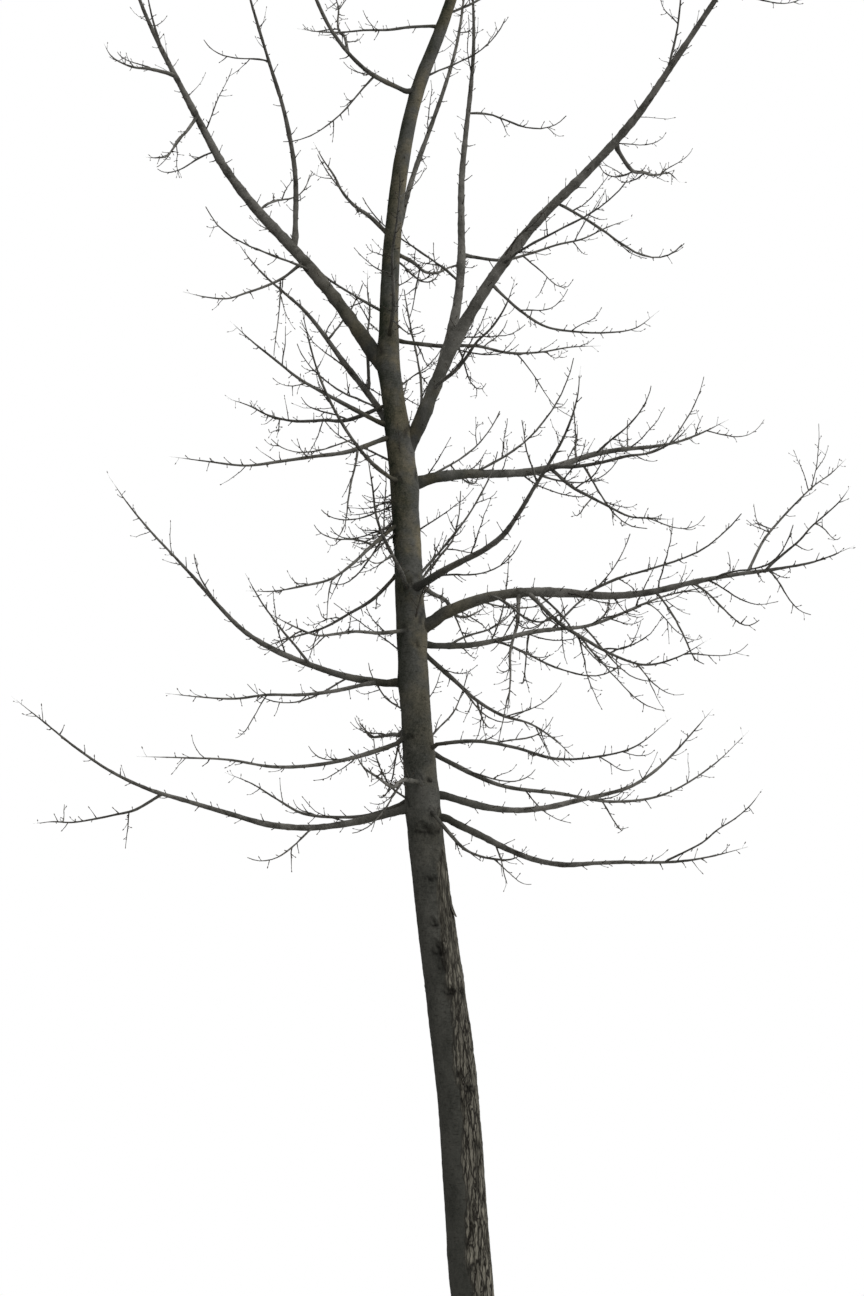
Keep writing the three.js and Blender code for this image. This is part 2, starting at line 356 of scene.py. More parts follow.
class Finish(Recipe):
    """A material in the making."""

    def __init__(self, name):
        self.material = bpy.data.materials.new(name)
        self.material.use_nodes = True
        super().__init__(self.material.node_tree)
        self.shader = self.tree.nodes["Principled BSDF"]

    def grain(self, stretch, size, detail=4.0, rough=0.6):
        """Noise from 0 to 1, size waves to the metre, stretched along each axis."""
        spot = self.node("TexCoord", output="Object")
        stretched = self.node("Mapping", None, {"Vector": spot, "Scale": stretch})
        inputs = {"Vector": stretched, "Scale": size, "Detail": detail, "Roughness": rough}
        return self.node("TexNoise", None, inputs)

    def height(self):
        """The height above the ground, in metres."""
        spot = self.node("TexCoord", output="Object")
        return self.node("SeparateXYZ", None, {"Vector": spot}, "Z")

    def plates(self, stretch, size, wavy):
        """How far a spot is from the nearest seam between plates, 0 on the seam itself."""
        spot = self.node("TexCoord", output="Object")
        cloud = self.node("TexNoise", None, {"Vector": spot, "Scale": WAVE_SCALE}, "Color")
        inputs = {0: cloud, 1: (wavy, wavy, wavy), 2: spot}
        bent = self.node("VectorMath", {"operation": "MULTIPLY_ADD"}, inputs)
        stretched = self.node("Mapping", None, {"Vector": bent, "Scale": stretch})
        settings = {"feature": "DISTANCE_TO_EDGE"}
        return self.node("TexVoronoi", settings, {"Vector": stretched, "Scale": size})

    def blend(self, share, first, second):
        """The first colour where share is 0, the second where it is 1."""
        inputs = {0: share, MIX_FIRST: first, MIX_SECOND: second}
        return self.node("Mix", {"data_type": "RGBA"}, inputs, MIX_RESULT)

    def traced(self, name):
        """An amount that was written on the mesh's points when it was shaped."""
        return self.node("Attribute", {"attribute_name": name}, output="Fac")

    def done(self, colour, roughness, height, depth):
        """Feeds the shader. Height is from 0 to 1, and depth is what 1 stands for, in metres."""
        self.feed(self.shader.inputs["Base Color"], colour)
        self.feed(self.shader.inputs["Roughness"], roughness)
        bump = self.node("Bump", None, {"Height": height, "Distance": depth})
        self.feed(self.shader.inputs["Normal"], bump)
        self.shader.inputs["Specular IOR Level"].default_value = DULL
        return self.material


def shade(red, green, blue):
    """A colour given as a paint chart gives it, 0 to 255, as the light that it reflects."""
    return tuple((value / 255) ** SCREEN_CURVE for value in (red, green, blue)) + (1.0,)


# %% [markdown]
# ## Bark finishes
# The trunk's smooth bark is dark olive-grey low down, darkest on the side away from the light, where
# moss keeps it damp and shade is painted. It is drier and greyer on the way up, and paler and browner
# in the crown, with short dark marks across it. One side has opened into pale ridges with dark seams
# and splits between them and painted shade in the hollows of its cracks, and the knots are darker than
# the rest, with painted shade in the folds under them and above the boughs' feet. Boughs are an even
# grey with pale flecks, and the trunk's bark runs out on to their feet, with painted shade in the
# crotch. Twigs and buds are browner. Colour, gloss and relief all come from the same few patterns, so
# a crack is dark, rough and deep in the same place.

# %% Name the patterns and the colours
EVEN = (1.0, 1.0, 1.0)
# each pattern's stretch along the axes, waves to the metre, detail and roughness
WARMTH = EVEN, 4.0, 3.0
CLOUDS = (1.0, 1.0, 0.6), 6.0
MOTTLE = EVEN, 38.0, 6.0, 0.75
GRIT = EVEN, 90.0, 3.0, 0.7
SPECKS = EVEN, 130.0, 3.0, 0.7
MARKS = (1.0, 1.0, 4.5), 22.0, 2.0
STRANDS = (1.0, 1.0, 0.12), 80.0, 6.0, 0.7
SPLITS = (1.0, 1.0, 0.11), 30.0, 3.0
THREADS = (1.0, 1.0, 0.05), 34.0, 2.0
BOUGH_BLOTCHES, BOUGH_FLECKS, BOUGH_SPECKS = (EVEN, 7.0), (EVEN, 55.0, 6.0, 0.7), (EVEN, 160.0, 2.0)
TWIG_BLOTCHES, TWIG_SPECKS = (EVEN, 14.0), (EVEN, 240.0, 2.0)
# the plates' stretch, their number to the metre, and how far their seams stray
PLATES = (1.0, 1.0, 0.1), 38.0, 0.03
# where the bark changes on the way up, as shares of the clear stem
DRIES_FROM, DRY_FROM = 0.1, 0.9
CROWN_STARTS, CROWN_FULL = 0.85, 1.5
RIDGES_START_TO_THIN, RIDGES_THIN = 0.6, 0.85

LOW_GREYS = shade(41, 42, 39), shade(86, 85, 80)
CROWN_GREYS = shade(92, 91, 88), shade(112, 105, 89)
CROWN_DARK = shade(38, 42, 33)
MARK_BROWN = shade(28, 27, 24)
RIDGE_GREYS = shade(66, 64, 58), shade(126, 122, 111)
# the plates' grey, and the painted shade down the cracks' walls
PLATE_GREY, HOLLOW_SHADE_GREY = shade(60, 58, 53), shade(60, 58, 52)
# dark seams, and painted shade in the crotches of the boughs
SEAM_AND_SHADE_GREY = shade(32, 30, 27)
# dark cracks, and painted shade in the folds of the knots and above the boughs' feet
CRACK_AND_SHADE_BLACK = shade(20, 19, 17)
SPECK_GREY = shade(92, 90, 82)
BOUGH_GREYS = shade(60, 59, 55), shade(104, 102, 97)
BOUGH_FLECK, BOUGH_SPECK = shade(136, 134, 128), shade(140, 138, 131)
TWIG_GREYS = shade(50, 48, 44), shade(76, 73, 67)
BUD_BROWNS = shade(52, 45, 39), shade(76, 67, 58)
TWIG_SPECK = shade(106, 102, 94)

TRUNK_DEPTH, BOUGH_DEPTH, TWIG_DEPTH = 0.007, 0.0025, 0.0006
# how much moss and painted shade the boughs' feet take on from the trunk
FOOT_MOSS_AND_SHADE = 0.4
print("crown bark starts", round(CROWN_STARTS * clear_stem, 2), "m up")


# %% Mix the finishes
def up_the_stem(bark, low, high):
    """0 under one height and 1 over another, both given as shares of the clear stem."""
    return bark.ramp(bark.height(), low * clear_stem, high * clear_stem)


def smooth_bark(bark, mottle, moss_and_shade):
    """The smooth bark's colour: darker and greener low down, and where moss grows and shade is painted
    on the side away from the light, paler and browner in the crown."""
    clouds = bark.ramp(bark.grain(*CLOUDS), 0.38, 0.62)
    grit = bark.ramp(bark.grain(*GRIT), 0.36, 0.64)
    patches = 0.4 * clouds + 0.3 * bark.ramp(mottle, 0.35, 0.65) + 0.3 * grit
    warmer = bark.ramp(bark.grain(*WARMTH), 0.42, 0.6)
    # painted shade and moss: darker and greener on the side away from the light
    dark = 0.7 - 0.85 * patches + 0.6 * moss_and_shade
    crown = bark.blend(dark, bark.blend(warmer, *CROWN_GREYS), CROWN_DARK)
    dry = up_the_stem(bark, DRIES_FROM, DRY_FROM)
    low = bark.blend(patches * (0.35 + 0.7 * dry), *LOW_GREYS)
    return bark.blend(up_the_stem(bark, CROWN_STARTS, CROWN_FULL), low, crown)


def trunk_finish():
    bark = Finish("trunk bark")
    mottle = bark.grain(*MOTTLE)
    strands = bark.grain(*STRANDS)
    specks = bark.grain(*SPECKS)
    plates = bark.plates(*PLATES)
    seams = bark.ramp(plates, 0.09, 0.015)
    splits = bark.ramp(abs(bark.grain(*SPLITS) - 0.5), 0.04, 0.01)
    high = up_the_stem(bark, RIDGES_START_TO_THIN, RIDGES_THIN)
    opened = bark.traced("opened")
    crack = bark.traced("cracks")

    # the smooth side, with its short marks
    marks = bark.ramp(bark.grain(*MARKS), 0.6, 0.68)
    smooth = bark.blend(marks * 0.5, smooth_bark(bark, mottle, bark.traced("moss_and_shade")), MARK_BROWN)

    # the opened side: ridges on the plates, thinner high up, painted shade in the hollows, seams and
    # splits
    ridges = bark.blend(bark.ramp(strands, 0.3, 0.7), *RIDGE_GREYS)
    threads = bark.ramp(abs(bark.grain(*THREADS) - 0.5), 0.09, 0.02)
    crests = bark.ramp(plates, 0.03, 0.15) * (1.0 - high) + threads * high
    ridged = bark.blend(crests, PLATE_GREY, ridges)
    # painted shade in the cracks' hollows
    ridged = bark.blend(bark.ramp(crack, 0.05, 0.5) * 0.5, ridged, HOLLOW_SHADE_GREY)
    ridged = bark.blend(seams * (0.8 - 0.6 * high), ridged, SEAM_AND_SHADE_GREY)
    ridged = bark.blend(splits * (0.5 - 0.2 * high), ridged, SEAM_AND_SHADE_GREY)

    # both sides together, the border between them, and what lies over both
    colour = bark.blend(opened, smooth, ridged)
    border = bark.ramp(abs(opened - 0.3), 0.28, 0.05)
    colour = bark.blend(border * (0.6 - 0.4 * high), colour, SEAM_AND_SHADE_GREY)
    colour = bark.blend(bark.ramp(crack, 0.5, 1.0) * 0.35, colour, CRACK_AND_SHADE_BLACK)
    # the knots' dark eyes, and painted shade in the folds under the knots and above the boughs' feet
    colour = bark.blend(bark.traced("scars_and_shade"), colour, CRACK_AND_SHADE_BLACK)
    colour = bark.blend(bark.ramp(specks, 0.54, 0.76) * 0.2, colour, SPECK_GREY)
    depths = seams * 0.5 + splits * 0.6 - strands * 0.4
    height = mottle * 0.35 + specks * 0.2 - depths * opened
    return bark.done(colour, 0.8 + 0.15 * mottle, height, TRUNK_DEPTH)


def bough_finish():
    bark = Finish("bough bark")
    flecks = bark.grain(*BOUGH_FLECKS)
    specks = bark.ramp(bark.grain(*BOUGH_SPECKS), 0.58, 0.7)
    near = bark.traced("rooted")
    colour = bark.blend(bark.ramp(bark.grain(*BOUGH_BLOTCHES), 0.36, 0.68), *BOUGH_GREYS)
    colour = bark.blend(bark.ramp(flecks, 0.5, 0.75) * 0.5, colour, BOUGH_FLECK)
    colour = bark.blend(specks * 0.3, colour, BOUGH_SPECK)
    colour = bark.blend(near, colour, smooth_bark(bark, bark.grain(*MOTTLE), FOOT_MOSS_AND_SHADE))
    # painted shade in the crotch, where the bough's foot meets the trunk
    colour = bark.blend(bark.ramp(near, 0.8, 1.0) * 0.4, colour, SEAM_AND_SHADE_GREY)
    return bark.done(colour, 0.78 + 0.16 * flecks, flecks * 0.7 + specks * 0.3, BOUGH_DEPTH)


def twig_finish(name, dark, pale):
    bark = Finish(name)
    blotches = bark.ramp(bark.grain(*TWIG_BLOTCHES), 0.35, 0.68)
    specks = bark.ramp(bark.grain(*TWIG_SPECKS), 0.58, 0.7)
    colour = bark.blend(specks * 0.3, bark.blend(blotches, dark, pale), TWIG_SPECK)
    return bark.done(colour, 0.64 + 0.2 * blotches, specks, TWIG_DEPTH)


finishes = {
    "trunk": trunk_finish(),
    "bough": bough_finish(),
    "twig": twig_finish("twig bark", *TWIG_GREYS),
    "bud": twig_finish("bud scales", *BUD_BROWNS),
}
print("finishes:", ", ".join(finishes))

# %% [markdown]
# ## Bark boughs
# A limb could be a bent cylinder, or a circle extruded again and again. A curve with a round
# bevel does the same work with less: its points carry a radius, so taper, collar and knuckles are
# just numbers on the way. It is turned into a mesh, closed and facing outwards, and a Displace
# modifier then roughens it. A bough swells at its foot, where the carrier's wood has grown round
# it, and at each knuckle, where a year's shoot ended or a twig has dropped off.

# %% Turn a line and its radii into a closed bark sleeve
POINTED = 0.0006

relief = bpy.data.textures.new("bark relief", "CLOUDS")
relief.noise_scale = 0.03
relief.noise_depth = 3


def sleeve(name, line, radii, roundness):
    """A closed mesh sleeve round a line. Roundness 4 gives it 12 sides, and each more adds 2."""
    bpy.ops.object.select_all(action="DESELECT")
    bpy.ops.curve.primitive_nurbs_path_add(radius=1.0, location=(0, 0, 0))
    limb = newest()
    curve = limb.data
    curve.splines.clear()
    route = curve.splines.new("POLY")
    route.points.add(len(line) - 1)
    route.points.foreach_set("co", np.hstack([line, np.ones((len(line), 1))]).ravel())
    route.points.foreach_set("radius", radii)
    curve.bevel_depth = 1.0
    curve.bevel_resolution = roundness
    curve.use_fill_caps = True
    curve.twist_mode = "MINIMUM"
    bpy.ops.object.convert(target="MESH")
    limb = newest()
    limb.name = name
    limb.data.name = name
    return limb


def roughen(piece, strength):
    """Displaces a piece by the cloudy relief, and applies it."""
    modifier = piece.modifiers.new("relief", "DISPLACE")
    modifier.texture = relief
    modifier.texture_coords = "LOCAL"
    modifier.strength = strength
    modifier.mid_level = 0.55
    only(piece)
    bpy.ops.object.modifier_apply(modifier="relief")


def write_on(mesh, name, amount):
    """Writes an amount on each of a mesh's points, for the finishes to read."""
    values = np.broadcast_to(amount, len(mesh.vertices)).astype(np.float32)
    mesh.attributes.new(name, "FLOAT", "POINT").data.foreach_set("value", values)


def finish_piece(piece, finish, node=None):
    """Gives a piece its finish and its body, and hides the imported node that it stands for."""
    piece.data.materials.clear()
    piece.data.materials.append(finishes[finish])
    only(piece)
    bpy.ops.object.shade_smooth()
    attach(piece, "root")
    if node:
        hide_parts(node)


# %% Make a bark bough for each carried limb
STOUT = 0.024
# how far apart the rings are, the roundness and the relief, for stout boughs and for slender ones
STOUT_BARK, SLENDER_BARK = (0.022, 8, 0.004), (0.03, 4, 0.002)
FEWEST_RINGS = 8
KNUCKLE_SWELL, KNUCKLE_REACH = 0.09, 0.018
KNUCKLE_SPACING, KNUCKLE_DRIFT = 0.22, 0.4
LUMP_LENGTH, LUMP_SWELL = 0.12, 0.12
ROOTED_GIRTHS = 12.0


def hump(value, centre, width):
    """1 where a value is at the centre, falling to almost 0 two widths away on either side."""
    return np.exp(-((value - centre) / width) ** 2)


def radii_at(limb, places):
    """A limb's radii at given distances from its start."""
    return np.interp(places, np.linspace(0, limb.length, AXIS_POINTS), limb.radii)


def bough_radii(limb, places, rng):
    """A bough's radius on the way: its own taper, collar and all, and its knuckles."""
    swollen = radii_at(limb, places)
    for centre in np.arange(limb.bark_at + KNUCKLE_SPACING, limb.length, KNUCKLE_SPACING):
        centre += rng.uniform(-KNUCKLE_DRIFT, KNUCKLE_DRIFT) * KNUCKLE_SPACING
        swollen *= 1 + KNUCKLE_SWELL * hump(places, centre, KNUCKLE_REACH)
    here = limb.axis[0, :2]
    lumps = [noise.fractal(Vector((place / LUMP_LENGTH, *here)), 1.0, 2.0, 3) for place in places]
    swollen *= 1 + LUMP_SWELL * np.array(lumps)
    swollen[-1] = POINTED
    return swollen


def mark_foot(piece, limb):
    """Writes on the points how near they are to the trunk: its dark bark runs on to the bough, and shade
    is painted in the crotch between them.
    """
    away = np.array([(vertex.co - Vector(limb.axis[0])).length for vertex in piece.data.vertices])
    reach = ROOTED_GIRTHS * limb.radii.max()
    near = hump(np.maximum(away, limb.bark_at), limb.bark_at, reach)
    write_on(piece.data, "rooted", near * (limb.carrier == TRUNK))


def kept_inside(piece):
    """Brings the points that the relief has pushed past the tree's own size back to it."""
    for vertex in piece.data.vertices:
        vertex.co = np.clip(vertex.co, LOW + MERGE, HIGH - MERGE)


def make_bough(limb, seed):
    rng = np.random.default_rng(seed)
    spacing, roundness, strength = STOUT_BARK if limb.radii.max() > STOUT else SLENDER_BARK
    places = np.linspace(0.0, limb.length, int(limb.length / spacing) + FEWEST_RINGS)
    radii = bough_radii(limb, places, rng)
    piece = sleeve("bark-" + limb.name, at(limb.axis, places), radii, roundness)
    close_up(piece)
    roughen(piece, strength)
    kept_inside(piece)
    mark_foot(piece, limb)
    finish_piece(piece, "bough", limb.name)
    return piece


boughs = [make_bough(limb, seed) for seed, limb in enumerate(limbs.values()) if limb.carrier]
print("bark boughs:", len(boughs), "faces:", sum(len(piece.data.polygons) for piece in boughs))

# %% [markdown]
# ## The trunk's bark
# This is the piece that is seen closest. Its foot spreads in low buttresses, it swells wherever a
# bough leaves it, old pruning scars stand out as lips round a dark hollow, and one side has opened
# into lengthways cracks. A texture alone would leave its outline smooth, and a bark sculpted by
# hand couldn't be made again. So it is the same kind of sleeve as a bough, with rings close enough
# for the cracks, and then every point is moved in or out by the sum of these features. What each
# feature did is written on the points too, so that its colour lies exactly where its shape does.

# %% A sleeve for the trunk
TRUNK_ROUNDNESS = 32
FINE_STEP, COARSE_STEP = 0.03, 0.058
FINE_UP_TO = 1.08 * clear_stem
UNDER_GROUND = 0.06

trunk_places = np.concatenate([np.arange(0.0, FINE_UP_TO, FINE_STEP),
                               np.arange(FINE_UP_TO, trunk.length, COARSE_STEP),
                               [trunk.length]])
trunk_line = at(trunk.axis, trunk_places)
trunk_radii = radii_at(trunk, trunk_places)
trunk_radii[-1] = POINTED
below = trunk_line[0] + unit(trunk_line[0] - trunk_line[1]) * UNDER_GROUND
trunk_bark = sleeve("bark-trunk", np.vstack([below, trunk_line]),
                    np.concatenate([trunk_radii[:1], trunk_radii]), TRUNK_ROUNDNESS)
close_up(trunk_bark)
finer = trunk_bark.modifiers.new("finer", "SUBSURF")
finer.levels = finer.render_levels = 1
bpy.ops.object.modifier_apply(modifier="finer")
print("trunk rings:", len(trunk_places), "points:", len(trunk_bark.data.vertices))

# %% The buttresses and the collars
LOBES, LOBE_DEPTH, LOBE_HEIGHT, LOBE_TURN = 5, 0.11, 0.28, 0.7
COLLAR_GIRTHS, COLLAR_TALL, COLLAR_SWELL = 1.9, 1.4, 0.2
# where the fold above each bough's foot lies and how wide it is, and how dark its painted shadow is
FOLD_AT, FOLD_WIDTH, COLLAR_FOLD_SHADOW = 0.85, 0.14, 0.6


def buttress(bearing, height, radius):
    """How far the foot's buttresses push the bark out."""
    fade = hump(height, 0.0, LOBE_HEIGHT)
    return radius * LOBE_DEPTH * fade * np.cos(LOBES * bearing + LOBE_TURN)


def collar(points, height):
    """The swelling of the trunk under and round each bough's foot, and how shadowed it is."""
    push = np.zeros(len(points))
    fold = np.zeros(len(points))
    for limb in limbs.values():
        if limb.carrier != TRUNK:
            continue
        bark = limb.axis[0] + unit(limb.axis[1] - limb.axis[0]) * limb.bark_at
        size = float(limb.radii[0]) * COLLAR_GIRTHS
        close = lengths_of((points - bark) / (1.0, 1.0, COLLAR_TALL)) / size
        push += COLLAR_SWELL * size * hump(close, 0.0, 1.0)
        # painted shadow in the fold above the bough's foot
        fold += COLLAR_FOLD_SHADOW * hump(close, FOLD_AT, FOLD_WIDTH) * (height > bark[2])
    return push, fold


# %% The knots
FRONT = -math.pi / 2
KNOTS = [
    # height as a share of the clear stem, bearing from the front in degrees towards the cracked
    # side, half width, half height, and how dark the eye is
    (0.972, 8, 0.074, 0.044, 0.4), (0.885, -4, 0.028, 0.022, 0.9), (0.885, 16, 0.016, 0.014, 0.7),
    (0.808, -5, 0.028, 0.038, 0.7), (0.762, -3, 0.04, 0.062, 0.9), (0.733, 4, 0.034, 0.042, 0.7),
    (0.692, 12, 0.034, 0.05, 0.8), (0.692, 48, 0.05, 0.026, 0.5), (0.527, 33, 0.048, 0.038, 0.9),
    (0.433, 50, 0.03, 0.024, 0.9), (0.265, 52, 0.026, 0.02, 0.8), (0.15, -150, 0.03, 0.022, 0.9),
    (0.37, 205, 0.034, 0.026, 0.9), (0.59, 150, 0.04, 0.03, 0.9), (0.82, 170, 0.03, 0.022, 0.9),
    (0.7, -110, 0.026, 0.02, 0.9), (1.06, 30, 0.024, 0.018, 0.8), (1.14, -25, 0.028, 0.02, 0.8),
    (1.31, 20, 0.024, 0.018, 0.8), (1.45, 150, 0.03, 0.022, 0.9), (1.62, -15, 0.022, 0.016, 0.8),
]
RAGGED, RAG_SIZE, SLANT = 0.35, 0.024, 0.25
# how far each part of a knot moves the bark, as shares of the knot's half width
LIP_OUT, EYE_IN, FOLD_IN = 0.24, 0.34, 0.06
LIP_WIDTH, RIM_WIDTH, EYE_WIDTH, FOLD_LENGTH = 0.34, 0.16, 0.6, 1.4
RIM_DARK, FOLD_SHADE = 0.4, 0.7
FOLD_DROP, FOLD_BOW, FOLD_THICK = 0.6, 0.2, 0.2


def rough_noise(points, size, octaves=3):
    """A cloudy value from about -1 to 1 at each point."""
    return np.array([noise.fractal(Vector(point), 1.0, 2.0, octaves) for point in points / size])


def trunk_radius(height):
    """The trunk's radius at a height."""
    return np.interp(height, trunk.axis[:, 2], trunk.radii)


def knots(points, bearing, height):
    """Old scars: a lip of bark round a dark hollow, with a fold across it that has painted shade in it."""
    push = np.zeros(len(points))
    dark = np.zeros(len(points))
    ragged = RAGGED * rough_noise(points, RAG_SIZE)
    for share, degrees, wide, tall, darkness in KNOTS:
        knot_height = share * clear_stem
        turn = np.angle(np.exp(1j * (bearing - FRONT - math.radians(degrees))))
        across = turn * trunk_radius(knot_height) / wide
        along = (height - knot_height) / tall
        close = np.hypot(across, along + SLANT * np.sin(3 * across)) + ragged
        eye = hump(close, 0.0, EYE_WIDTH)
        fold = hump(across, 0.0, FOLD_LENGTH) * hump(along, FOLD_BOW * across ** 2 - FOLD_DROP, FOLD_THICK)
        push += wide * (LIP_OUT * hump(close, 1.0, LIP_WIDTH) - EYE_IN * eye - FOLD_IN * fold)
        dark += darkness * eye + RIM_DARK * hump(close, 1.0, RIM_WIDTH) + FOLD_SHADE * fold
    return push, np.clip(dark, 0, 1)


print("knots:", len(KNOTS))

# %% The opened side and its cracks
OPEN_SIDE = 0.0
# height as a share of the clear stem, and half width of the opened strip as an angle
OPEN_WIDTHS = ([0.0, 0.69, 0.77, 0.86, 0.91, 0.94, 0.97], [1.64, 1.66, 1.54, 1.44, 1.2, 0.9, 0.0])
# how far the strip's edge strays, as an angle, and over what distance
EDGE_STRAYS = (0.2, 0.13), (0.16, 0.03)
EDGE_FADE = 0.2
DRAWN_UP, LESS_DRAWN_UP = (1, 1, 0.3), (1, 1, 0.5)
CRACK_SPACING, CRACK_STRETCH, CRACK_WIDTH, CRACK_DEPTH = 0.09, 7.0, 0.12, 0.01
FINER_CRACKS, FINER_SHALLOWER = 0.6, 0.35
ELSEWHERE = 5.0


def opened_side(points, bearing, height):
    """1 where the bark has opened into plates, 0 where it is still smooth."""
    width = np.interp(height / clear_stem, *OPEN_WIDTHS)
    for stray, size in EDGE_STRAYS:
        width += stray * rough_noise(points * DRAWN_UP, size)
    turn = np.abs(np.angle(np.exp(1j * (bearing - OPEN_SIDE))))
    return np.clip((width - turn) / EDGE_FADE, 0.0, 1.0)


def cracks(points):
    """1 in the middle of a lengthways crack, 0 on a ridge. Cracks run where a cloud drawn out
    lengthways changes its sign, so they are long, wavy and join up."""
    drawn = points * (1, 1, 1 / CRACK_STRETCH)
    coarse = np.abs(rough_noise(drawn, CRACK_SPACING)) / CRACK_WIDTH
    fine = np.abs(rough_noise(drawn + ELSEWHERE, CRACK_SPACING * FINER_CRACKS, 2)) / CRACK_WIDTH
    return np.clip(1.0 - np.minimum(coarse, fine + FINER_SHALLOWER), 0.0, 1.0)


print("opened side up to", round(OPEN_WIDTHS[0][-1] * clear_stem, 2), "m")

# %% Shape the bark, and write what was done on its points
CRACK_STEEPNESS = 1.4
SLENDER_AT = 0.1
# how far a grain moves the bark, and over what distance
RIDGES, SKIN, SWELLS = (0.002, 0.012), (0.0016, 0.035), (0.006, 0.2)


def middle_at(height):
    """The trunk's middle at some heights."""
    line = trunk.axis
    return np.stack([np.interp(height, line[:, 2], line[:, axis]) for axis in (0, 1)], axis=1)


mesh = trunk_bark.data
points = np.empty(len(mesh.vertices) * 3)
mesh.vertices.foreach_get("co", points)
points = points.reshape(-1, 3)
height = points[:, 2]
outward = points[:, :2] - middle_at(height)
radius = lengths_of(outward)
outward /= np.maximum(radius, POINTED)[:, None]
bearing = np.arctan2(outward[:, 1], outward[:, 0])

opened = opened_side(points, bearing, height)
crack = cracks(points) * opened
knot_push, knot_dark = knots(points, bearing, height)
collar_push, collar_shadow = collar(points, height)
slender = np.clip(radius / SLENDER_AT, 0.15, 1.0)
push = (buttress(bearing, height, radius) + collar_push + knot_push * (1 - 0.5 * opened)
        - CRACK_DEPTH * crack ** CRACK_STEEPNESS
        + RIDGES[0] * opened * rough_noise(points * DRAWN_UP, RIDGES[1])
        + SKIN[0] * slender * rough_noise(points, SKIN[1])
        + SWELLS[0] * slender * rough_noise(points * LESS_DRAWN_UP, SWELLS[1]))
points[:, :2] += outward * push[:, None]
mesh.vertices.foreach_set("co", points.ravel())

write_on(mesh, "opened", opened)
write_on(mesh, "cracks", crack)
# the knots' dark eyes, and the painted shade in the knots' folds and above the boughs' feet
write_on(mesh, "scars_and_shade", np.clip(knot_dark + collar_shadow, 0, 1))
# moss and painted shade: 1 on the side away from the light and from the opened side, 0 on the opened side
write_on(mesh, "moss_and_shade", 0.5 - 0.5 * np.cos(bearing - OPEN_SIDE))
print("opened points:", int((opened > 0.5).sum()), "deepest crack:", CRACK_DEPTH * crack.max())

# %% Cut the trunk flat at the ground
only(trunk_bark)
bpy.ops.object.mode_set(mode="EDIT")
bpy.ops.mesh.select_all(action="SELECT")
bpy.ops.mesh.bisect(plane_co=(0, 0, LOW[2] + MERGE), plane_no=(0, 0, 1), use_fill=True, clear_inner=True)
bpy.ops.mesh.select_all(action="SELECT")
bpy.ops.mesh.normals_make_consistent(inside=False)
bpy.ops.object.mode_set(mode="OBJECT")
finish_piece(trunk_bark, "trunk", TRUNK)
lowest = min(vertex.co.z for vertex in mesh.vertices)
print("trunk triangles:", sum(len(face.vertices) - 2 for face in mesh.polygons), "lowest point:", lowest)

# %% [markdown]
# ## A loose flake
# Where the cracks are old, a plate of bark has come away at its lower end and stands off the trunk.
# It could be pulled out of the trunk's own mesh, but a flake has a back and an edge. So it is a
# sheet of its own: a plane laid on the trunk, divided, curled outwards and made solid.

# %% Make the flake
FLAKE_TOP, FLAKE_LENGTH, FLAKE_WIDTH = 0.85 * clear_stem, 0.12, 0.04
FLAKE_BEARING, FLAKE_LIFT, FLAKE_CURL = -0.42, 0.024, 2.2
FLAKE_SUNK, FLAKE_HOLLOW, FLAKE_RAGGED = 0.002, 0.004, 0.22
FLAKE_THICKNESS, FLAKE_RELIEF = 0.004, 0.0025

bpy.ops.object.select_all(action="DESELECT")
bpy.ops.mesh.primitive_grid_add(x_subdivisions=8, y_subdivisions=26, size=1.0, location=(0, 0, 0))
flake = newest()
flake.name = flake.data.name = "bark-flake"
for vertex in flake.data.vertices:
    across, down = vertex.co.x, 0.5 - vertex.co.y
    edge = 1.0 + FLAKE_RAGGED * noise.noise(Vector((3.0 * down, 9.0 * (across > 0), 0.0)))
    taper = math.sqrt(max(math.sin(math.pi * (0.08 + 0.86 * down)), 0.0)) * edge
    spot = FLAKE_TOP - FLAKE_LENGTH * down
    centre = middle_at(np.array([spot]))[0]
    girth = float(trunk_radius(spot))
    turn = FLAKE_BEARING + across * taper * FLAKE_WIDTH / girth
    out = girth + FLAKE_LIFT * down ** FLAKE_CURL - FLAKE_SUNK + FLAKE_HOLLOW * (2 * across) ** 2
    vertex.co = (centre[0] + out * math.cos(turn), centre[1] + out * math.sin(turn), spot)
only(flake)
solid = flake.modifiers.new("solid", "SOLIDIFY")
solid.thickness = FLAKE_THICKNESS
solid.offset = 0.0
bpy.ops.object.modifier_apply(modifier="solid")
roughen(flake, FLAKE_RELIEF)
close_up(flake)
for name, amount in (("opened", 1.0), ("cracks", 0.0), ("scars_and_shade", 0.0), ("moss_and_shade", 0.0)):
    write_on(flake.data, name, amount)
finish_piece(flake, "trunk")
print("flake faces:", len(flake.data.polygons))

# %% [markdown]
# ## How the crown grows
# A tree builds its crown by one rule, used over and over. A bud opens on the side of a limb, each
# one turned about a third of the way round from the one before. It grows out at half a right
# angle, bends a little to one side and the other at each year's buds, sags under its own weight,
# and lifts its tip to the light. Long shoots bear twigs, twigs bear buds, and old spurs stay
# short. Drawing thousands of twigs by hand isn't possible, and particles wouldn't outlive the
# scene. So arrays of points are grown here, a whole generation at once, and each kind is joined
# into meshes of its own.

# %% Seats on a limb
GOLDEN, TURN_SPREAD = math.radians(137.5), 0.25
UP = np.array([0.0, 0.0, 1.0])
ASIDE = np.array([0.31, 0.22, 0.92])
# a seat is a row: its spot, the limb's direction, the way out, the limb's radius and what is ahead
SPOT, AHEAD, OUT, GIRTH, REST, COLUMNS = slice(0, 3), slice(3, 6), slice(6, 9), 9, 10, 11
dice = np.random.default_rng(2024)


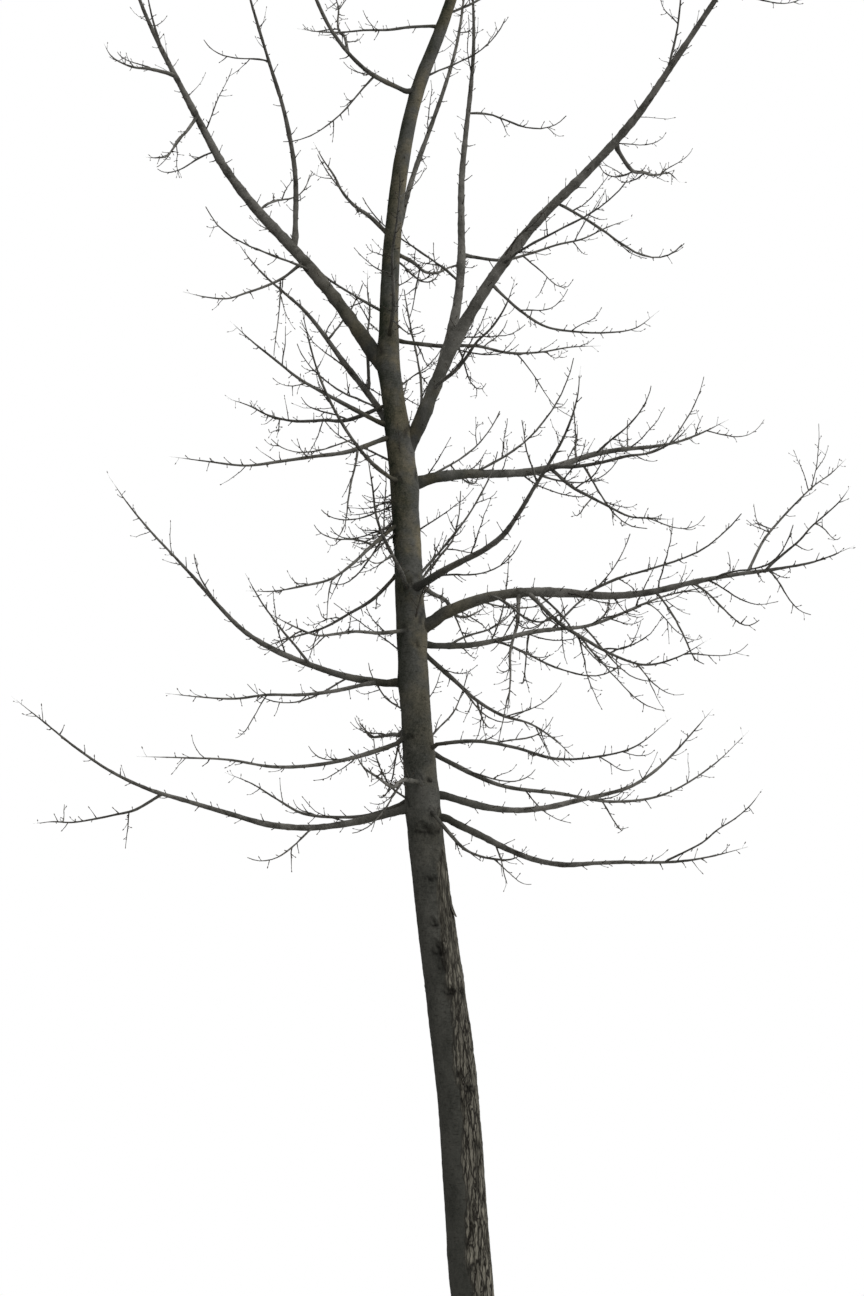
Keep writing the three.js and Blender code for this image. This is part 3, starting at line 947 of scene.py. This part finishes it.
def seats_on(line, radii, spacing, clear, ends=1.0, lean=0.0):
    """The seats where side growth leaves a limb: none before clear, none past the share ends."""
    reach = measure(line)
    count = int((reach[-1] * ends - clear) / spacing)
    if count < 1:
        return np.zeros((0, COLUMNS))
    places = clear + (np.arange(count) + dice.uniform(0.1, 0.9, count)) * spacing
    spots = at(line, places)
    ahead = unit(at(line, places + 0.01) - at(line, places - 0.01))
    across = unit(np.cross(ahead, ASIDE))
    round_it = np.cross(ahead, across)
    turns = dice.uniform(0, 2 * math.pi) + GOLDEN * np.arange(count) + dice.normal(0, TURN_SPREAD, count)
    lift = lean * dice.uniform(0.1, 1.4, (count, 1)) * UP
    out = np.cos(turns)[:, None] * across + np.sin(turns)[:, None] * round_it + lift
    out = unit(out - ahead * (out * ahead).sum(axis=1, keepdims=True))
    girth = np.interp(places, reach, radii)
    return np.column_stack([spots, ahead, out, girth, reach[-1] - places])


def generation(parents, spacing, clear, ends=1.0):
    """The seats of a whole generation of parents, each a pair of points and radii."""
    return np.vstack([seats_on(line, radii, spacing, clear, ends) for line, radii in parents])


# %% What grows from the seats
EDGE = 0.012
CUT_SHORT = 0.4
TAPER, KNOBBLY = 0.62, 0.2
ANGLE_SPREAD, STRIDE_SPREAD = 10, 0.25
ZIGZAG, STRAY = 0.8, 0.7
PULL, UPRIGHT_PULL = 1.6, 0.35


def grow(seats, lengths, girths, leave, steps, sag, rise, crook):
    """Grows one shoot from each seat. Leave is its angle to the limb in degrees, sag pulls its
    first half down, rise lifts its second half, and crook bends it to one side and the other.
    Returns its points and radii, step by step."""
    angle = np.radians(leave + dice.normal(0, ANGLE_SPREAD, len(seats)))[:, None]
    heading = unit(np.cos(angle) * seats[:, AHEAD] + np.sin(angle) * seats[:, OUT])
    points = [seats[:, SPOT] + seats[:, OUT] * seats[:, GIRTH, None] * 0.5]
    level = np.sqrt(np.maximum(1.0 - heading[:, 2:3] ** 2, 0.0))
    for step, share in enumerate((np.arange(steps) + 0.5) / steps):
        bend = rise * share ** 1.5 - sag * (1 - share) ** 2
        sideways = unit(np.cross(heading, seats[:, OUT] + 0.3)) * (-1) ** step
        drift = crook * (ZIGZAG * sideways + dice.normal(0, STRAY, heading.shape))
        heading = unit(heading + (bend * (UPRIGHT_PULL + level) * UP) * PULL / steps ** 0.5 + drift)
        stride = lengths / steps * dice.uniform(1 - STRIDE_SPREAD, 1 + STRIDE_SPREAD, len(seats))
        points.append(points[-1] + heading * stride[:, None])
    points = np.stack(points, axis=1)
    radii = girths[:, None] * (1 - TAPER * np.linspace(0.0, 1.0, steps + 1))[None, :]
    radii = radii * dice.uniform(1 - KNOBBLY, 1 + KNOBBLY, radii.shape)
    return inside_the_box(points, radii)


def inside_the_box(points, radii):
    """Shortens what would reach past the tree's own size, and drops what would end up stunted."""
    start = points[:, :1]
    offset = points - start
    room = np.where(offset > 0, HIGH - EDGE - start, start - LOW - EDGE)
    share = (room / np.maximum(np.abs(offset), 1e-6)).min(axis=(1, 2)).clip(0, 1)
    kept = share > CUT_SHORT
    points = start + offset * share[:, None, None]
    return points[kept], radii[kept]


# %% Join a generation into one mesh
MOST_TRIANGLES = 185000
ACROSS = np.array([0.62, 0.35, 0.7])


def tube_mesh(points, radii, sides):
    """Closed tubes round many lines at once, as arrays of corners and triangles."""
    count, rings = points.shape[:2]
    ahead = unit(np.gradient(points, axis=1))
    across = [unit(np.cross(ahead[:, 0], ACROSS))]
    for ring in range(1, rings):
        flat = across[-1] - ahead[:, ring] * (across[-1] * ahead[:, ring]).sum(axis=1, keepdims=True)
        across.append(unit(flat))
    across = np.stack(across, axis=1)
    other = np.cross(ahead, across)
    turn = 2 * math.pi * np.arange(sides) / sides
    circle = (np.cos(turn)[:, None] * across[:, :, None] + np.sin(turn)[:, None] * other[:, :, None])
    wall = points[:, :, None] + circle * radii[:, :, None, None]
    tip = points[:, -1] + ahead[:, -1] * radii[:, -1:]
    corners = np.concatenate([wall.reshape(count, -1, 3), points[:, :1], tip[:, None]], axis=1)
    foot, top = rings * sides, rings * sides + 1
    faces = []
    for side in range(sides):
        beside = (side + 1) % sides
        faces.append((foot, beside, side))
        faces.append((top, (rings - 1) * sides + side, (rings - 1) * sides + beside))
        for ring in range(rings - 1):
            low, high = ring * sides, (ring + 1) * sides
            faces.append((low + side, low + beside, high + beside))
            faces.append((low + side, high + beside, high + side))
    shifts = (np.arange(count) * corners.shape[1])[:, None, None]
    return corners.reshape(-1, 3), (np.array(faces)[None] + shifts).reshape(-1, 3)


def join_pieces(name, points, radii, sides, finish):
    """Makes as many pieces as the growth needs, from the lowest to the highest."""
    order = points[:, 0, 2].argsort()
    points, radii = points[order], radii[order]
    each = 2 * sides * points.shape[1]
    parts = math.ceil(len(points) * each / MOST_TRIANGLES)
    for number, rows in enumerate(np.array_split(np.arange(len(points)), parts), 1):
        corners, faces = tube_mesh(points[rows], radii[rows], sides)
        piece_mesh = bpy.data.meshes.new(f"{name}-{number}")
        piece_mesh.from_pydata(corners, [], faces)
        piece = bpy.data.objects.new(f"{name}-{number}", piece_mesh)
        bpy.context.scene.collection.objects.link(piece)
        finish_piece(piece, finish)
    print(name, "grown:", len(points), "triangles:", len(points) * each, "in pieces:", parts)


# %% [markdown]
# ## Branchlets and shoots
# No two boughs are set alike. The low ones have lost nearly all their shoots and keep only spurs.
# The boughs in the middle stand full of them: upright ones along the sixth bough on the right,
# hanging ones under the great bough. So each limb has a habit of its own: how far apart its side
# growth stands, how long it gets, and whether it leans up or hangs down. High on the trunk's
# shaded side, where a bough was lost, old shoots stand close together in a tuft. Branchlets a thumb
# thick come first, and shoots grow from them and from the limbs.

# %% Each limb's habit
# a limb's spacing as a multiple of the usual, its side growth's length likewise, and its lean
HABIT = {
    "left-lowest": (3.0, 0.5, 0.2), "left-lowest-fork": (1.6, 0.5, 0.3),
    "left-inner": (2.0, 0.5, 0.0), "left-drooping": (2.2, 0.5, 0.5),
    "left-great": (1.9, 0.6, 0.4), "left-great-under": (1.6, 0.5, 0.0),
    "left-great-shoot": (1.6, 0.5, 0.0), "left-short": (1.3, 0.6, 0.0),
    "left-fallen": (1.3, 0.6, 0.0), "left-hanging": (0.7, 0.6, 0.0),
    "left-stem": (1.7, 0.9, 0.2), "left-stem-fork": (1.6, 0.7, 0.0),
    "left-fan-steep": (1.6, 0.8, 0.3), "left-fan-low": (1.7, 0.8, 0.0),
    "left-fan-back": (1.5, 0.8, 0.0), "left-fan-upper": (1.6, 0.9, 0.2),
    "left-leader": (1.9, 0.8, -0.2), "left-upright": (3.5, 0.6, 0.0),
    "left-leader-hook": (0.8, 0.8, 0.3), "left-leader-arm": (1.0, 0.7, 0.0),
    "second-leader": (3.0, 0.7, 0.0), "right-leader": (1.6, 1.0, -0.4),
    "right-upright": (2.4, 0.9, -0.3), "right-upright-arm": (0.9, 0.8, 0.0),
    "right-lowest": (2.4, 0.4, -0.2), "right-lowest-rise": (2.0, 0.4, 0.0),
    "right-second": (2.4, 0.4, 0.0), "right-third": (1.8, 0.5, 0.0),
    "right-fourth": (0.9, 0.6, 0.0), "right-great": (0.6, 1.0, -0.4),
    "right-great-rise": (1.1, 0.7, 0.0), "right-great-tip": (1.1, 0.7, 0.0),
    "right-great-under": (0.6, 0.8, 0.0), "right-fifth": (0.5, 1.0, 0.0),
    "right-sweeping": (0.6, 0.8, 0.0), "right-great-hang": (0.5, 0.7, 0.0),
    "right-sixth": (0.6, 0.9, 0.7), "right-sixth-fork": (0.7, 0.8, 0.4),
    "right-sixth-droop": (0.8, 0.8, 0.2), "right-swinging": (0.6, 0.8, 0.0),
    "right-arching": (1.6, 0.6, 0.2), "front-low": (1.8, 0.6, 0.0), "front-dip": (1.8, 0.6, 0.0),
    "front-middle": (1.6, 0.7, 0.0), "trunk": (0.42, 0.9, 0.0),
}
USUAL = (1.3, 0.8, 0.0)
CLEAR_OF_BARK = 0.12
# the share of the trunk's seats that are kept on its front, and above a height
FRONT_SHARE, HIGH_SHARE = 0.2, 0.35
FACES_FRONT, FULL_UP_TO = -0.45, 1.8 * clear_stem
TUFT_FROM, TUFT_TO = 1.525 * clear_stem, 1.61 * clear_stem
TUFT_SPREAD, TUFT_LEAN = 0.45, 0.4


def seats_by_habit(spacing):
    """Seats on every limb by its habit, and a column each for their vigour and their lean."""
    rows = []
    for limb in limbs.values():
        wider, vigour, lean = HABIT.get(limb.name, USUAL)
        clear = limb.bark_at + CLEAR_OF_BARK if limb.carrier else clear_stem
        found = seats_on(limb.axis, limb.radii, spacing * wider, clear, ends=0.97, lean=lean)
        if limb.name == TRUNK:
            share = np.where(found[:, OUT][:, 1] > FACES_FRONT, 1.0, FRONT_SHARE)
            share *= np.where(found[:, SPOT][:, 2] < FULL_UP_TO, 1.0, HIGH_SHARE)
            found = found[dice.uniform(0, 1, len(found)) < share]
        extra = np.broadcast_to([vigour, lean], (len(found), 2))
        rows.append(np.column_stack([found, extra]))
    found = np.vstack(rows)
    return found[:, :COLUMNS], found[:, COLUMNS], found[:, COLUMNS + 1:]


def with_tuft(seats, lengths, leans, spacing, longest):
    """Adds seats close together on the trunk's shaded side, where old shoots stand in a tuft."""
    rows = seats_on(trunk.axis, trunk.radii, spacing, TUFT_FROM, TUFT_TO / trunk.length)
    turns = math.pi + dice.normal(0.0, TUFT_SPREAD, len(rows))
    rows[:, OUT] = np.column_stack([np.cos(turns), np.sin(turns), 0.0 * turns])
    rows[:, AHEAD] = unit(rows[:, OUT] * TUFT_LEAN - UP * dice.uniform(-0.5, 1.0, (len(rows), 1)))
    lengths = np.concatenate([lengths, longest * dice.uniform(0.2, 1.0, len(rows)) ** 1.5])
    return np.vstack([seats, rows]), lengths, np.vstack([leans, np.zeros((len(rows), 1))])


def girths_for(seats, lengths, least, more, thinnest, share, floor):
    """Thicker where longer, but never more than a share of the limb that carries it."""
    return np.clip(least + more * lengths, thinnest, share * np.maximum(seats[:, GIRTH], floor))


print("limbs with a habit of their own:", len(HABIT), "of", len(limbs))

# %% Branchlets on the limbs
seats, vigour, leans = seats_by_habit(spacing=0.55)
room = np.minimum(0.45 + 0.5 * seats[:, REST], 1.5)
lengths = vigour * room * dice.uniform(0.45, 1.0, len(seats))
seats, lengths, leans = with_tuft(seats, lengths, leans, spacing=0.035, longest=0.9)
girths = girths_for(seats, lengths, least=0.0055, more=0.0045, thinnest=0.005, share=0.6, floor=0.009)
sag = 0.2 - 0.3 * leans
branchlets = grow(seats, lengths, girths, leave=46, steps=14, sag=sag, rise=0.46, crook=0.06)
join_pieces("branchlets", *branchlets, sides=6, finish="bough")
branchlet_lines = list(zip(*branchlets))

# %% Shoots on the limbs and on the branchlets
seats, vigour, leans = seats_by_habit(spacing=0.6)
lengths = vigour * np.minimum(0.2 + 0.4 * seats[:, REST], 0.8) * dice.uniform(0.3, 1.0, len(seats))
second = generation(branchlet_lines, spacing=0.26, clear=0.1, ends=0.95)
second_lengths = (0.1 + 0.42 * second[:, REST]) * dice.uniform(0.25, 1.0, len(second)) ** 1.3
seats, lengths = np.vstack([seats, second]), np.concatenate([lengths, second_lengths])
leans = np.vstack([leans, np.zeros((len(second), 1))])
seats, lengths, leans = with_tuft(seats, lengths, leans, spacing=0.022, longest=0.5)
girths = girths_for(seats, lengths, least=0.0044, more=0.0036, thinnest=0.003, share=0.75, floor=0.0055)
sag = 0.14 - 0.25 * leans
shoots = grow(seats, lengths, girths, leave=44, steps=9, sag=sag, rise=0.36, crook=0.12)
join_pieces("shoots", *shoots, sides=5, finish="twig")
shoot_lines = list(zip(*shoots))

# %% Twigs on the longer shoots and on the limbs' own ends
LONG_SHOOT = 0.2

bearing_twigs = [pair for pair in shoot_lines if measure(pair[0])[-1] > LONG_SHOOT]
half_way = AXIS_POINTS // 2
end_lines = [(limb.axis[half_way:], limb.radii[half_way:]) for limb in limbs.values()]
seats = np.vstack([generation(bearing_twigs, spacing=0.2, clear=0.05),
                   generation(end_lines, spacing=0.22, clear=0.0)])
lengths = 0.04 + 0.28 * np.minimum(seats[:, REST], 0.9) * dice.uniform(0.1, 1.0, len(seats)) ** 1.8
girths = girths_for(seats, lengths, least=0.0031, more=0.003, thinnest=0.0, share=0.8, floor=0.0)
twigs = grow(seats, lengths, girths, leave=46, steps=4, sag=0.05, rise=0.25, crook=0.16)
join_pieces("twigs", *twigs, sides=4, finish="twig")

# %% Spurs along the boughs, the branchlets and the shoots
bough_lines = [(limb.axis, limb.radii) for limb in limbs.values() if limb.carrier]
seats = np.vstack([generation(bough_lines, spacing=0.065, clear=0.22),
                   generation(branchlet_lines, spacing=0.075, clear=0.05),
                   generation(shoot_lines, spacing=0.07, clear=0.03)])
lengths = 0.016 + 0.055 * dice.uniform(0, 1, len(seats)) ** 2.4
girths = np.clip(dice.uniform(0.0036, 0.0062, len(seats)), 0.0, 0.95 * seats[:, GIRTH])
out_of_bark = lengths + 0.5 * seats[:, GIRTH]
spurs = grow(seats, out_of_bark, girths, leave=60, steps=2, sag=0.0, rise=0.2, crook=0.2)
join_pieces("spurs", *spurs, sides=4, finish="twig")

# %% [markdown]
# ## Buds
# Every twig ends in a bud and carries more along its sides, one to each old leaf. A bud is a short
# pointed drop. It is grown by the same rule as a very short twig, but with its own outline: narrow
# at its foot, widest half way up, and pointed.

# %% Buds on every tip and along the twigs
BUD_OUTLINE = np.array([0.6, 1.0, 0.2])
BUD_LENGTH, BUD_GIRTH = 0.013, 0.0034
END_BUD, SIDE_BUD = 1.25, 1.0


def buds_from(seats, scale, leave):
    lengths = BUD_LENGTH * scale * dice.uniform(0.75, 1.25, len(seats))
    girths = np.full(len(seats), BUD_GIRTH)
    points, radii = grow(seats, lengths, girths, leave, steps=2, sag=0.0, rise=0.1, crook=0.0)
    return points, np.broadcast_to(BUD_OUTLINE * BUD_GIRTH * scale, radii.shape)


def tips_of(points, radii):
    """A seat at the end of each line, looking straight on."""
    ahead = unit(points[:, -1] - points[:, -2])
    return np.column_stack([points[:, -1], ahead, ahead * 0.0, radii[:, -1], radii[:, -1] * 0.0])


buds = [buds_from(tips_of(*grown), END_BUD, leave=0) for grown in (shoots, twigs, spurs)]
side_seats = generation(shoot_lines + list(zip(*twigs)), spacing=0.065, clear=0.03, ends=0.95)
buds.append(buds_from(side_seats, SIDE_BUD, leave=42))
bud_points = np.vstack([points for points, _ in buds])
bud_radii = np.vstack([radii for _, radii in buds])
join_pieces("buds", bud_points, bud_radii, sides=4, finish="bud")

# %% [markdown]
# ## Floor and light
# The tree stands on a plain pale floor, a round one, so that the ground ends behind the trunk's
# foot and what is seen past the crown is plain white. The light is an overcast sky's: soft, from
# above and from every side, and a little stronger from the right. It could be made with lamps, but
# thousands of twigs would cast thousands of sharp shadows. A sky that fades from above to below
# lights the boughs' tops and leaves their undersides dark.

# %% Lay the floor
FLOOR_RADIUS, FLOOR_THICKNESS, FLOOR_DROP = 3.4, 0.02, 0.012

bpy.ops.object.select_all(action="DESELECT")
bpy.ops.mesh.primitive_cylinder_add(vertices=128, radius=FLOOR_RADIUS, depth=FLOOR_THICKNESS,
                                    location=(0, 0, -FLOOR_DROP))
floor = newest()
floor.name = "floor"
paving = Finish("pale floor")
paving.shader.inputs["Base Color"].default_value = shade(214, 213, 210)
paving.shader.inputs["Roughness"].default_value = 0.9
floor.data.materials.append(paving.material)

# %% Hang the sky
SKY_OVERHEAD, SKY_LEVEL, SKY_BELOW = 1.8, 0.72, 0.05
BRIGHTER_TOWARDS = (0.72, 0.0, 0.0)
WHITE = (1.0, 1.0, 1.0, 1.0)

world = bpy.data.worlds.new("overcast")
bpy.context.scene.world = world
world.use_nodes = True
sky = Recipe(world.node_tree)
spot = sky.node("TexCoord", output="Generated")
up = sky.node("SeparateXYZ", None, {"Vector": spot}, "Z")
from_below = sky.ramp(up, -1.0, 0.0) * (SKY_LEVEL - SKY_BELOW)
from_above = sky.ramp(up, 0.0, 1.0) * (SKY_OVERHEAD - SKY_LEVEL)
dot = {"operation": "DOT_PRODUCT"}
towards = sky.node("VectorMath", dot, {0: spot, 1: BRIGHTER_TOWARDS}, "Value")
glow = (SKY_BELOW + from_below + from_above) * (1.0 + towards)
lit = sky.node("Background", None, {"Color": WHITE, "Strength": glow})
plain = sky.tree.nodes["Background"]
plain.inputs["Color"].default_value = WHITE
seen = sky.node("LightPath", output="Is Camera Ray")
shown = sky.node("MixShader", None, {0: seen, 1: lit, 2: Amount(sky, plain.outputs[0])})
sky.feed(sky.tree.nodes["World Output"].inputs["Surface"], shown)
bpy.context.scene.view_settings.view_transform = "Standard"
print("floor radius:", FLOOR_RADIUS, "sky from", SKY_BELOW, "to", SKY_OVERHEAD)
